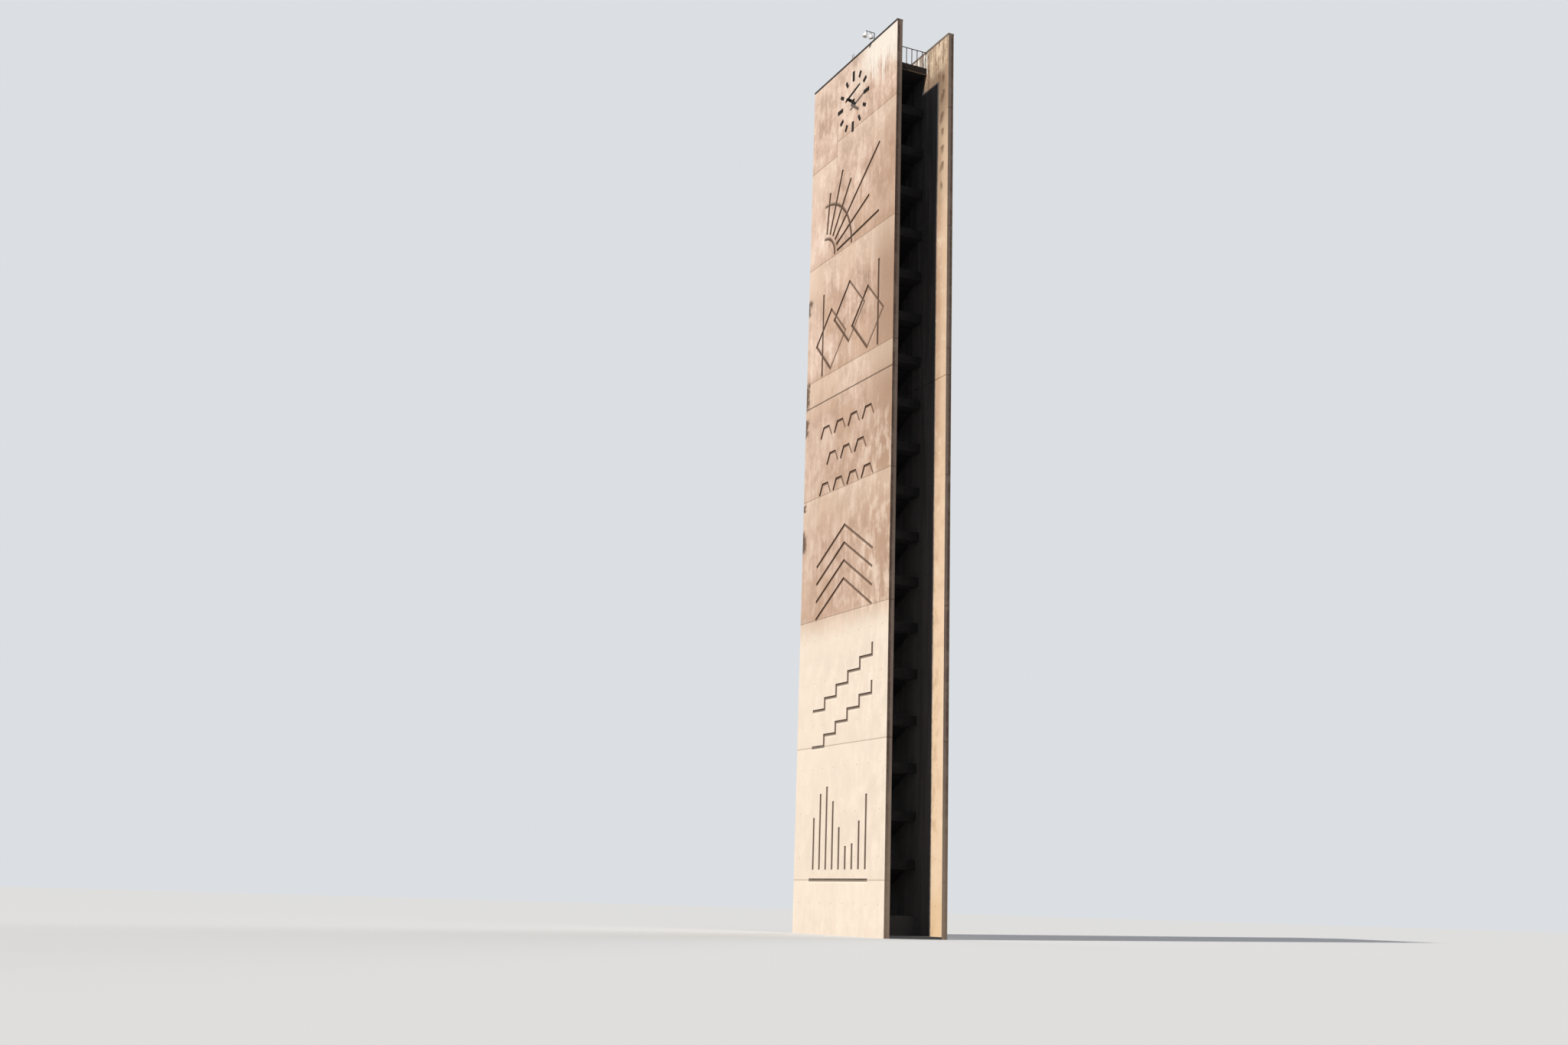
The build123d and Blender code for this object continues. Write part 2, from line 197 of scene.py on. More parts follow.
# %% [markdown]
# ## Cast concrete of the slabs
# The slabs were poured against timber boards, one lift above another. Each lift dried to its own
# tone, rain has drawn dark and pale streaks down it, and dirt has settled in the cuts. A photo
# texture would repeat and stretch over 25 metres. So the finish is worked out from the place on
# the slab: which lift, which form panel and which board a point lies on, and how far it is from
# the top, the edges and the open ends of the stair.

# %% Real sizes of the formwork
lift_height = 3.55
lowest_lift = 1.41
board_width = 0.1
panel_count = 8
form_panel_width = 2 * half_width / panel_count
seam_place = -0.97
seam_foot = 21.4
seam_drop = 0.45
lift_count = math.ceil((wall_top - lowest_lift) / lift_height)
print("lifts:", lift_count, "boards:", round(2 * half_width / board_width))

# %% [markdown]
# ### Tone of the cast face
# On the real wall every pour, form panel and board came out a little lighter or darker. Painting
# each by hand would take days, so a random tone comes from the corner of the cell that a point lies
# in. Clouds of four sizes and streaks of two widths lie over them. All are added up, and the sum
# picks a colour between brown and cream, so that the layers mix as stains do.

# %% Tone of the cast face


def cell_tone(add, at, width, height):
    from_corner = add("VectorMath", at.point, (half_width, 0.0, -lowest_lift), operation="ADD")
    cells = add("VectorMath", from_corner, (width, 2.0, height), operation="DIVIDE")
    corner = add("VectorMath", cells, operation="FLOOR")
    return add("TexWhiteNoise", corner, noise_dimensions="3D")


def cast_tone(add, at):
    at.clouds = pattern(add, at, (1300, 1300, 1700), 5.0, 0.6)
    at.patches = pattern(add, at, (400, 400, 520), 5.0, 0.6)
    at.smears = pattern(add, at, (170, 900, 620), 4.0, 0.55)
    at.mottle = pattern(add, at, (110, 110, 130), 5.0, 0.62)
    at.grit = pattern(add, at, 11, 3.0)
    at.streaks = pattern(add, at, (240, 900, 3400), 5.0, 0.6)
    at.fine_streaks = pattern(add, at, (55, 900, 1500), 4.0, 0.6)
    parts = (
        (at.clouds, 0.9),
        (at.patches, 0.9),
        (at.smears, 0.3),
        (at.mottle, 0.5),
        (at.grit, 0.1),
        (at.streaks, 0.3),
        (at.fine_streaks, 0.12),
        (cell_tone(add, at, 2 * half_width, lift_height), 0.12),
        (cell_tone(add, at, form_panel_width, lift_height / 2), 0.13),
        (cell_tone(add, at, board_width, lift_height), 0.04),
    )
    tone = weigh(add, 0.52, parts)
    steps = (
        (0.12, 0.38, "#C9AB97"),
        (0.36, 0.58, "#E0C3B0"),
        (0.56, 0.78, "#F1D9C8"),
        (0.76, 1.0, "#FDEBDB"),
    )
    layers = [((tone, start, end), colour) for start, end, colour in steps]
    layers.append(((at.smears, 0.42, 0.36, 0.0, 0.3), "#B3937D"))
    layers.append(((at.smears, 0.58, 0.64, 0.0, 0.35), "#FFEBD9"))
    return lay_over(add, linear("#A98D78"), layers)


# %% [markdown]
# ### Weather on the outer faces
# The near edge has gone brown, the far edge and the foot have bleached, and lime has run white from
# the coping. Each lift is paler just under its pour line, and the top line steps down at a seam
# beside the dial. Soot sits in blotches by the far edge, at the heights where it does in the photo.
# Each stain is a mask and a colour. The metres in its ranges were read off the photo, and patterns
# make them ragged first, because no stain ends at a ruled line.

# %% Weather on the outer faces
foot_line = lowest_lift + 2 * lift_height
soot_blotches = ((15.25, 0.5), (18.0, 0.3), (14.3, 0.35), (11.9, 0.15), (10.9, 0.45))


def place_on_slab(add, at):
    at.across = add("Math", at.x, operation="ABSOLUTE")
    at.out = add("Math", at.y, operation="ABSOLUTE")
    is_left = add("MapRange", at.x, seam_place + 0.005, seam_place - 0.005)
    left_of_seam = fade(add, is_left, add("MapRange", at.z, seam_foot - 0.6, seam_foot))
    shifted = add("Math", left_of_seam, seam_drop, at.z, operation="MULTIPLY_ADD")
    above = add("Math", shifted, lowest_lift, operation="SUBTRACT")
    at.lift = add("Math", above, lift_height, operation="DIVIDE")
    at.lift_share = add("Math", at.lift, operation="FRACT")
    from_line = add("Math", at.lift, 0.5, operation="PINGPONG")
    at.to_line = add("Math", from_line, lift_height, operation="MULTIPLY")
    at.to_joint = distance(add, at.z, joint_level)


def edge_blotch(add, at, level, half_height):
    ragged = weigh(add, at.z, ((at.patches, 0.5), (at.mottle, 0.3)))
    return fade(add, (distance(add, ragged, level), half_height, half_height * 0.5))


def outer_weather(add, at):
    ragged_x = weigh(add, at.x, ((at.clouds, 1.6), (at.patches, 0.7)))
    ragged_z = weigh(add, at.z, ((at.streaks, 2.4), (at.patches, 0.8)))
    brown_end = fade(add, (ragged_x, 0.5, 2.3, 0.0, 0.62), (ragged_z, 8.0, 10.5), (ragged_z, 23.4, 21.6))
    browner = fade(add, (ragged_x, 1.0, 2.2, 0.0, 0.75), (ragged_z, 11.4, 12.8), (ragged_z, 19.8, 18.4))
    smooth_panel = add("MapRange", cell_tone(add, at, form_panel_width * 1.5, lift_height / 3), 0.74, 0.76)
    grimy_middle = fade(add, (ragged_z, 17.5, 13.0), (ragged_z, 6.0, 9.0))
    pale_height = fade(add, (ragged_z, 23.0, 22.0), (at.z, 15.5, 19.0, 0.3, 1.0))
    foot_z = weigh(add, at.z, ((at.patches, 0.9), (at.smears, 0.6)))
    foot = fade(add, (foot_z, foot_line + 0.1, foot_line - 0.71, 0.0, 0.75))
    lime = fade(add, (ragged_z, wall_top - 1.35, wall_top - 0.7), (ragged_x, -0.6, 1.7, 0.1, 0.85))
    lime_runs = fade(add, (at.fine_streaks, 0.53, 0.58), (ragged_z, wall_top - 1.5, wall_top - 1.2))
    faded = weigh(add, 0.5, ((at.patches, 0.7), (at.smears, 0.5)))
    bleached = fade(add, (faded, 0.46, 0.62, 0.0, 0.5), (at.x, 0.2, 1.6, 0.3, 1.0), (ragged_z, 14.4, 13.2))
    blotch = 0.0
    for level, half_height in soot_blotches:
        blotch = add("Math", blotch, edge_blotch(add, at, level, half_height), operation="MAXIMUM")
    ragged_edge = weigh(add, at.x, ((at.patches, 0.5), (at.mottle, 0.3)))
    return [
        (smooth_panel, 0.42, "#D0AD93"),
        (brown_end, "#BF9D85"),
        (browner, "#B0907A"),
        (grimy_middle, 0.4, "#BC9C86"),
        (pale_height, (ragged_x, -1.3, -2.5, 0.0, 0.5), "#F6DDCB"),
        ((at.lift_share, 0.6, 1.0, 0.0, 0.3), "#FFEBD5"),
        ((at.lift_share, 0.1, 0.0, 0.0, 0.3), "#C4A288"),
        (bleached, "#FBE6D3"),
        (foot, "#FFF4E4"),
        (lime, "#FFF6EA"),
        (lime_runs, (at.x, 0.4, 1.2, 0.0, 0.9), "#FFFBF4"),
        (blotch, (ragged_edge, -2.3, -2.44, 0.0, 0.85), "#5A4638"),
    ]


# %% [markdown]
# ### Lines, cuts and end faces
# A thin dirt line marks each lift, and a wider one the construction joint. The incised cuts are
# painted darker. The cuts are solid, so the shader finds them by depth alone: whatever lies deeper
# than the face, and less deep than the back of a cut, is darker. The narrow end faces never dry:
# they are brown by the outer corner and greyer inside, and on the front slab darkest from 17 to 23 m.
# A thin pale line right at the outer arris is a painted highlight.

# %% Lines, cuts and end faces


def lines_and_cuts(add, at):
    depth = add("Math", outer_face, at.out, operation="SUBTRACT")
    # Points inside a cut are painted darker.
    in_cut = fade(add, (depth, 0.003, 0.02), (depth, 0.06, 0.045))
    from_seam = distance(add, at.x, seam_place)
    seam = fade(add, (from_seam, 0.03, 0.01, 0.0, 0.5), (at.z, 21.9, 22.2), (at.z, 23.6, 23.2))
    return [
        ((at.to_line, 0.022, 0.006, 0.0, 0.42), "#775E4B"),
        (seam, "#775E4B"),
        ((at.to_joint, 0.034, 0.014, 0.0, 0.55), "#574335"),
        (in_cut, 0.85, "#584335"),
    ]


def looks_to_end(add, at):
    looks_along = add("Math", at.faces_x, operation="ABSOLUTE")
    return fade(add, (looks_along, 0.6, 0.8))


def end_face(add, at):
    is_end = fade(add, looks_to_end(add, at), (at.across, half_width - 0.012, half_width - 0.004))
    ragged = weigh(add, at.out, ((at.streaks, 0.06), (at.fine_streaks, 0.03)))
    # A thin pale line at the outer arris is a painted highlight.
    corner = (at.out, outer_face - 0.01, outer_face - 0.003, 0.0, 0.12)
    inner_corner = (at.out, inner_face + 0.012, inner_face + 0.003, 0.0, 0.5)
    grime = fade(add, (at.y, 0.1, -0.1), (at.z, 15.5, 18.5, 0.15, 0.42), (at.z, 8.8, 9.6), (at.z, 24.0, 22.9))
    layers = [
        ((ragged, outer_face - 0.06, outer_face - 0.1), "#85756B"),
        ((at.patches, 0.5, 0.7, 0.0, 0.4), "#A08C7D"),
        ((at.mottle, 0.4, 0.75, 0.0, 0.25), "#B29D8C"),
        ((at.to_line, 0.03, 0.01, 0.0, 0.5), "#4B3B31"),
        ((at.z, 5.0, 1.0, 0.0, 0.45), "#B8A48E"),
        (grime, "#2A2019"),
        (corner, "#E5C9B0"),
        (inner_corner, "#5C4D43"),
    ]
    return [(is_end, lay_over(add, linear("#5A473C"), layers))]


# %% [markdown]
# ### The clean strip of the inner faces
# Between the slabs only a strip by each open end gets any sun. It has bleached towards the foot and
# gone grimy near the top, and its outer edge is palest, where rain washes round the corner.

# %% Clean strip


def clean_strip(add, at):
    below_deck = (at.z, deck_underside + 0.1, deck_underside - 0.35)
    return [
        (0.6, "#EBC8A8"),
        ((at.z, 15.0, 8.0, 0.0, 0.7), "#FFE3C0"),
        ((at.patches, 0.5, 0.38, 0.0, 0.4), "#CDA684"),
        ((at.patches, 0.54, 0.64, 0.0, 0.5), "#FFEBD0"),
        ((at.z, 18.8, 20.8, 0.0, 0.75), "#BBA085"),
        ((at.z, 22.0, 23.2), below_deck, (at.across, 2.5, 2.2, 0.2, 0.6), "#836D5B"),
        ((at.across, 2.06, 2.4, 0.0, 0.5), (at.z, 23.0, 21.5), "#FFE4C6"),
        ((at.z, 1.4, 0.7, 0.0, 0.5), "#F0CB98"),
    ]


# %% [markdown]
# ### The parapet above the deck
# The parapet is pale and blotched. Rust runs brown down it from the coping, and beside the deck lime
# has run white, with dark gaps between its runs. Runs are narrow and tall, so they come from the
# fine streaks, cut off sharply.

# %% Parapet


def parapet_stains(add, at):
    blotched = weigh(add, 0.5, ((at.patches, 1.2), (at.mottle, 0.8), (at.smears, 0.6)))
    pale = fade(add, (at.z, deck_underside - 0.35, deck_underside), (blotched, 0.42, 0.62, 0.0, 0.7))
    rusty = weigh(add, 0.5, ((at.fine_streaks, 0.8), (at.smears, 0.7), (at.mottle, 0.5)))
    runs = fade(add, (at.z, deck_underside - 1.2, deck_underside, 0.0, 0.75), (rusty, 0.5, 0.6))
    beside_deck = fade(add, (at.across, 1.6, 1.35), (at.z, deck_underside, deck_underside + 0.1))
    return [
        (pale, "#FFEBCF"),
        (runs, "#7C5F47"),
        (beside_deck, (at.fine_streaks, 0.48, 0.54, 0.0, 0.8), "#5E4A3A"),
        (beside_deck, (at.fine_streaks, 0.5, 0.46), "#FFFCF6"),
    ]


# %% [markdown]
# ### Smears below the form ties
# Near the top of the strip, each tie left a dark smear. They could be drawn one by one, but they
# come at a regular spacing: the height divided by it is a row number, whose fraction says how high
# in its row a point lies. Wide clouds shift the rows and the smears, so that no two are alike.

# %% Tie smears
tie_place = 2.26
tie_spacing = 0.53


def tie_smears(add, at):
    drift = pattern(add, at, 420, 1.0)
    row = add("Math", weigh(add, at.z, ((drift, 0.55),)), tie_spacing, operation="DIVIDE")
    above_tie = add("Math", row, operation="FRACT")
    sideways = weigh(add, at.across, ((drift, 0.3), (at.mottle, 0.06)))
    from_tie = distance(add, sideways, tie_place)
    smear = fade(add, (above_tie, 0.35, 0.8), (above_tie, 0.98, 0.85), (from_tie, 0.14, 0.02, 0.0, 0.75))
    near_top = fade(add, (at.z, 19.8, 20.6), (at.z, deck_underside - 0.1, deck_underside - 0.5))
    return [(smear, near_top, "#6B533F")]


# %% [markdown]
# ### Painted shade between the slabs
# Behind the strip the inner faces are painted nearly black, as shade. On the rear slab the painted shade
# ends in a ragged line along the edge of the front slab's shadow. Close under the deck it keeps to the
# landings' own width, where the deck's shadow falls, and towards the foot it is painted lighter, as light
# from the ground. One finish serves all sides of a slab, because a slab is one solid. So a mask tells its
# inner face by the way that it looks: against the side of the tower on which the slab stands.

# %% Painted shade, and all layers of the inner faces
shade_edge = 2.0


def painted_slab_shade(add, at):
    # The inner face is painted nearly black as shade, out to the edge of the front slab's shadow, a little
    # further out near the top.
    near_top = fade(add, (at.z, 19.0, 22.5, 0.04, 0.08))
    from_top = add("Math", at.across, near_top, operation="SUBTRACT")
    ragged_across = weigh(add, from_top, ((at.mottle, 0.08), (at.fine_streaks, 0.05)))
    near_deck = (at.z, deck_underside - 0.45, deck_underside - 0.55)
    wide = fade(add, (ragged_across, shade_edge, shade_edge - 0.1), near_deck)
    # Right under the deck the painted shade keeps to the landings' width, where the deck's shadow falls.
    below_deck = (at.z, deck_underside + 0.005, deck_underside - 0.005)
    narrow = fade(add, (at.across, landing_end + 0.03, landing_end), below_deck)
    # The painted shade is streaked, and lighter towards the foot, as painted light from the ground.
    shades = [((at.streaks, 0.35, 0.65), "#66666A"), ((at.z, 20.0, 8.0, 0.0, 0.35), "#7E7E82")]
    colour = lay_over(add, linear("#494A4C"), shades)
    return [(add("Math", wide, narrow, operation="MAXIMUM"), colour)]


def inner_face_layers(add, at):
    side = add("Math", at.y, operation="SIGN")
    outward = add("Math", at.faces_y, side, operation="MULTIPLY")
    is_inner = fade(add, (outward, -0.3, -0.7))
    layers = clean_strip(add, at) + parapet_stains(add, at) + tie_smears(add, at) + painted_slab_shade(add, at)
    return [(is_inner, *layer) for layer in layers]


# %% [markdown]
# ### The slab's finish
# The layers go on in the order in which they reached the real wall: the cast face first, then
# weather and dirt. Last comes the painted shade between the slabs. The relief is board grain, grit and pores.

# %% Slab concrete


def cast_slab_concrete():
    material, add = start_material("cast_slab_concrete")
    at = locate(add)
    place_on_slab(add, at)
    colour = cast_tone(add, at)
    for layers in (outer_weather, lines_and_cuts, end_face, inner_face_layers):
        colour = lay_over(add, colour, layers(add, at))
    from_edge = add("Math", add("Math", at.x, board_width, operation="DIVIDE"), 0.5, operation="PINGPONG")
    board_edge = fade(add, (from_edge, 0.0, 0.04))
    pores = fade(add, (pattern(add, at, 18, 2.0), 0.3, 0.22))
    grain = pattern(add, at, (6, 60, 240), 3.0)
    relief = ((board_edge, 0.25), (grain, 0.4), (at.grit, 0.5), (at.mottle, 0.8), (pores, -1.2))
    height = weigh(add, 0.0, relief)
    roughness = fade(add, (at.mottle, 0.3, 0.7, 0.78, 0.94))
    finish(add, colour, roughness, height, 2.0, Specular_IOR_Level=0.3)
    return material


slab_concrete = cast_slab_concrete()
print("slab concrete:", len(slab_concrete.node_tree.nodes), "nodes")

# %% [markdown]
# ## Stair concrete in painted shade
# The stair and the landings were cast from the same mix, but their colour is painted dark, as the shade
# deep between the slabs, and dark drips run down them. The kerbs are painted darkest, and the low wall at
# the foot is painted lighter, as light from the ground. Steel bars near the surface have stained the
# deck's rim with rust. The slabs' finish under a dark tint would run its pour lines across the steps, so
# the stair has a short one of its own.

# %% Stair concrete


def stair_concrete_in_painted_shade():
    material, add = start_material("stair_concrete_in_painted_shade")
    at = locate(add)
    mottle = pattern(add, at, 240, 5.0, 0.65)
    drips = pattern(add, at, (60, 60, 900), 4.0, 0.6)
    grit = pattern(add, at, 12, 3.0, 0.6)
    across = add("Math", at.x, operation="ABSOLUTE")
    at_kerb = fade(add, (across, landing_end - 0.1, landing_end - 0.01), looks_to_end(add, at))
    rim = fade(add, at_kerb, (at.z, deck_underside - 0.01, deck_underside + 0.01))
    layers = [
        ((mottle, 0.3, 0.7), "#313033"),
        ((drips, 0.5, 0.7, 0.0, 0.6), "#1F1D1C"),
        ((at.faces_z, 0.7, 0.9, 0.0, 0.5), "#6E665F"),
        # The kerbs are painted darkest, as shade.
        (at_kerb, 0.9, "#161618"),
        # The low wall at the foot is painted lighter, as light from the ground.
        ((at.z, 0.95, 0.85, 0.0, 0.7), "#656669"),
        (rim, (drips, 0.35, 0.6, 0.55, 1.0), "#231A16"),
        (rim, (at.z, deck_underside + 0.035, deck_underside + 0.02), 0.3, "#A08C78"),
    ]
    # The dark base colour is painted shade: the stair stands deep between the slabs.
    colour = lay_over(add, linear("#242427"), layers)
    height = weigh(add, 0.0, ((grit, 0.5), (mottle, 1.2)))
    roughness = fade(add, (mottle, 0.3, 0.7, 0.7, 0.9))
    finish(add, colour, roughness, height, 2.0, Specular_IOR_Level=0.3)
    return material


stair_concrete = stair_concrete_in_painted_shade()

# %% [markdown]
# ## Weathered sheet steel and rusted bar
# The coping is folded sheet steel whose paint has gone, and the rails and rods are bare bar. Rust
# isn't metallic: it is a rough brown crust. So the metallic value stays low, and the colour runs
# from near black over red brown to orange where water stands. The rear coping still has its grey
# undercoat, bleached and stained. One function makes all three from their colours and their grain.

# %% Rusted steel


def rusted_steel(name, dark, middle, bright, bright_share, grain_mm):
    material, add = start_material(name)
    at = locate(add)
    patches = pattern(add, at, 280, 6.0, 0.68)
    crust = pattern(add, at, grain_mm, 4.0, 0.6)
    runs = pattern(add, at, (45, 45, 520), 4.0, 0.6)
    layers = [
        ((patches, 0.35, 0.65), middle),
        ((runs, 0.48, 0.7, 0.0, bright_share), bright),
        ((crust, 0.35, 0.7, 0.0, 0.35), dark),
    ]
    colour = lay_over(add, linear(dark), layers)
    height = weigh(add, 0.0, ((crust, 0.6), (patches, 1.0)))
    roughness = fade(add, (patches, 0.3, 0.7, 0.55, 0.88))
    finish(add, colour, roughness, height, 0.8, Metallic=0.25)
    return material


sheet_steel = rusted_steel("weathered_sheet_steel", "#1E1714", "#3A2A22", "#6B432C", 0.4, 9)
pale_sheet = rusted_steel("bleached_sheet_steel", "#6A625B", "#958A80", "#8A6A52", 0.4, 9)
bar_steel = rusted_steel("rusted_bar_steel", "#3A2A24", "#6B4636", "#A0603C", 0.7, 7)

# %% [markdown]
# ## Black paint of the dial
# The bars and hands are flat steel under dull black paint. Outdoors such paint chalks: its top
# turns greyer, and it flakes to rust at a few spots. A clean black would look like a hole in the
# wall, so the colour keeps a little brown. The flakes are the highest peaks of a noise, cut off
# sharply, and they lie a little lower than the paint around them.

# %% Dull black paint


def dull_black_paint():
    material, add = start_material("dull_black_paint")
    at = locate(add)
    chalk = pattern(add, at, (110, 110, 280), 5.0, 0.6)
    flakes = pattern(add, at, 38, 5.0, 0.7)
    orange_peel = pattern(add, at, 6, 2.0, 0.5)
    bare = fade(add, (flakes, 0.67, 0.7))
    colour = lay_over(add, linear("#0E0B0A"), [((chalk, 0.4, 0.75), "#241D1A"), (bare, "#4A2C1F")])
    height = weigh(add, 0.0, ((orange_peel, 0.3), (bare, -1.0)))
    roughness = fade(add, (chalk, 0.3, 0.7, 0.6, 0.8))
    finish(add, colour, roughness, height, 0.3, Specular_IOR_Level=0.25)
    return material


black_paint = dull_black_paint()

# %% [markdown]
# ## White enamel, lamp glass and reflector
# The floodlights are spun sheet under white stove enamel, a glossy paint with a faint ripple and
# some dust on top. Their fronts are clear dimpled glass over a bright aluminium reflector. Dust
# lies only where a face looks up, and the dimples are the cells of a Voronoi pattern, which is how
# pressed glass looks. The reflector's fine rings come from noise squeezed flat along Z.

# %% Enamel, glass and reflector
dimples_per_metre = 90.0


def white_enamel():
    material, add = start_material("white_stove_enamel")
    at = locate(add)
    ripple = pattern(add, at, 33, 2.0, 0.5)
    dust = pattern(add, at, 70, 5.0, 0.7)
    dusty = fade(add, (at.faces_z, 0.0, 0.9, 0.1, 0.6), (dust, 0.4, 0.7))
    colour = lay_over(add, linear("#FFFFFF"), [(dusty, "#CFC9C0")])
    finish(add, colour, add("MapRange", dust, 0.3, 0.7, 0.25, 0.42), ripple, 0.3)
    return material


def lamp_glass():
    material, add = start_material("toughened_lamp_glass")
    at = locate(add)
    dimples = add("TexVoronoi", sockets={"Vector": at.point, "Scale": dimples_per_metre})
    dust = pattern(add, at, 50, 4.0, 0.6)
    colour = lay_over(add, linear("#F4F6F6"), [((dust, 0.4, 0.7), "#D8D6D0")])
    roughness = fade(add, (dust, 0.3, 0.7, 0.04, 0.2))
    finish(add, colour, roughness, dimples, 0.8, Transmission_Weight=0.9)
    return material


def bright_aluminium():
    material, add = start_material("anodised_aluminium_reflector")
    at = locate(add)
    spun = pattern(add, at, (60, 60, 3), 2.0, 0.5)
    roughness = fade(add, (spun, 0.3, 0.7, 0.16, 0.3))
    finish(add, linear("#D9DADB"), roughness, spun, 0.1, Metallic=1.0)
    return material


enamel = white_enamel()
glass = lamp_glass()
reflector = bright_aluminium()

# %% [markdown]
# ## Mortar and mastic
# Holes that the form ties left were closed with mortar, a shade off the concrete around it. The
# construction joint is sealed with mastic, a grey putty that dust clings to. Both are dull and grainy,
# so they share one function, with their own colours and grain.

# %% Mortar and mastic


def putty(name, dark, pale, grain_mm, roughness):
    material, add = start_material(name)
    at = locate(add)
    grain = pattern(add, at, grain_mm, 4.0, 0.6)
    colour = lay_over(add, linear(dark), [((grain, 0.3, 0.7), pale)])
    finish(add, colour, roughness, grain, 1.0, Specular_IOR_Level=0.3)
    return material


mortar = putty("plug_mortar", "#C09F86", "#DDBEA4", 22, 0.92)
mastic = putty("joint_mastic", "#43372E", "#5C4D41", 9, 0.8)

# %% [markdown]
# ## Giving the solids their finishes
# The CAD nodes keep their shape and place. Each has one material slot, and the record says what
# that slot is, so a table from slot to material dresses the whole tower in one loop. The slabs and
# the stair share one slot, and so do the copings, so a second table picks some out by name.

# %% Dress the nodes
finishes = {
    "cast_concrete": stair_concrete,
    "rusty_sheet": sheet_steel,
    "rusty_steel": bar_steel,
    "dark_metal": black_paint,
    "white_enamel": enamel,
}
own_finishes = {"rear_wall_coping": pale_sheet}
for _, side_name in slabs:
    for part in ("lower", "upper"):
        own_finishes[f"{side_name}_wall_{part}"] = slab_concrete
for row in frame["record"]["subparts"]:
    name = row["node"]
    mesh = frame["nodes"][name].data
    mesh.materials.clear()
    mesh.materials.append(own_finishes.get(name, finishes[row["material_slot"]]))

# %% [markdown]
# ## Helpers for small fittings
# Bolts, flanges and lamp shells are all turned shapes: a profile carried round an axis. With six
# steps round, the same function makes a hexagon head, and with many it makes a smooth shell. A
# plate or a rib is a block with its edges broken, because no real edge is perfectly sharp. The bevel
# tool would do that, but it lists its faces in another order each time. So the block is four
# outlines joined one above another: each corner of the narrow ones at its ends meets two corners
# of a wide one.
#
# Many small fittings share one mesh, which `make_piece` turns into a piece with a finish and the body
# that it rides on.

# %% Turned shapes, blocks and bolts
sharp_angle = math.radians(35)
tolerance = 0.001
washer_thickness = 0.0015
washer = [(0.011, 0.0), (0.011, washer_thickness), (0, washer_thickness)]
hex_head = [(0.007, 0.0), (0.007, 0.004), (0.0055, 0.005), (0, 0.005)]
dome_head = [(0.012, 0.0), (0.0115, 0.003), (0.009, 0.006), (0.005, 0.008), (0, 0.0085)]


def on_circle(count, radius, first=0.0):
    angles = [math.tau * (step + first) / count for step in range(count)]
    return [(radius * math.cos(angle), radius * math.sin(angle)) for angle in angles]


def add_ring(mesh, spots, height, place, turn):
    return [mesh.verts.new(Vector(place) + turn @ Vector((*spot, height))) for spot in spots]


def join_rings(mesh, rings, sides):
    for low, high in zip(rings, rings[1:]):
        for step in range(sides):
            after = (step + 1) % sides
            lower = (low[step % len(low)], low[after % len(low)])
            upper = (high[after % len(high)], high[step % len(high)])
            mesh.faces.new(dict.fromkeys(lower + upper))


def add_turned(mesh, profile, place, axis, sides=24):
    turn = Vector(axis).to_track_quat("Z", "Y").to_matrix()
    rings = []
    for radius, height in profile:
        spots = on_circle(sides, radius) if radius > 0 else [(0, 0)]
        rings.append(add_ring(mesh, spots, height, place, turn))
    join_rings(mesh, rings, sides)


def add_block(mesh, middle, size, bevel, axes=None):
    x, y, z = (length / 2 for length in size)
    in_x, in_y, in_z = x - bevel, y - bevel, z - bevel
    narrow = ((in_x, -in_y), (in_x, in_y), (-in_x, in_y), (-in_x, -in_y))
    wide = ((x, -in_y), (x, in_y), (in_x, y), (-in_x, y), (-x, in_y), (-x, -in_y), (-in_x, -y), (in_x, -y))
    rings = []
    for outline, height in ((narrow, -z), (wide, -in_z), (wide, in_z), (narrow, z)):
        ring = add_ring(mesh, outline, height, middle, axes or Matrix.Identity(3))
        if outline is narrow:
            mesh.faces.new(ring)
            ring = [ring[(step + 1) // 2 % 4] for step in range(8)]
        rings.append(ring)
    join_rings(mesh, rings, 8)


def add_bolt(mesh, place, axis):
    add_turned(mesh, washer, place, axis, sides=16)
    on_washer = Vector(place) + Vector(axis).normalized() * washer_thickness
    add_turned(mesh, hex_head, on_washer, axis, sides=6)


def add_object(name, data):
    added = bpy.data.objects.new(name, data)
    bpy.context.scene.collection.objects.link(added)
    return added


def add_mesh(name, mesh, material):
    data = bpy.data.meshes.new(name)
    mesh.to_mesh(data)
    mesh.free()
    data.materials.append(material)
    return add_object(name, data)


def make_piece(name, mesh, material, body="tower"):
    bmesh.ops.recalc_face_normals(mesh, faces=mesh.faces)
    piece = add_mesh(name, mesh, material)
    piece.data.shade_smooth()
    piece.data.set_sharp_from_angle(angle=sharp_angle)
    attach(piece, body)
    print(name, len(piece.data.polygons), "faces")


def places_of(node):
    return [vertex.co for vertex in frame["nodes"][node].data.vertices]


# %% [markdown]
# ## Fins at the pour lines
# Where one lift meets the next, grout leaks past the boards and sets as a thin, uneven fin. It
# could be drawn as bump, but a real ridge catches light from the side and casts a shadow. Each fin
# is a strip with a random height, so the random numbers start from a fixed seed.

# %% Pour line fins
fin_step = 0.03
fin_height = 0.006
fin_reach = 0.004
fin_root = 0.002
fin_wave = 0.003
random.seed(7)


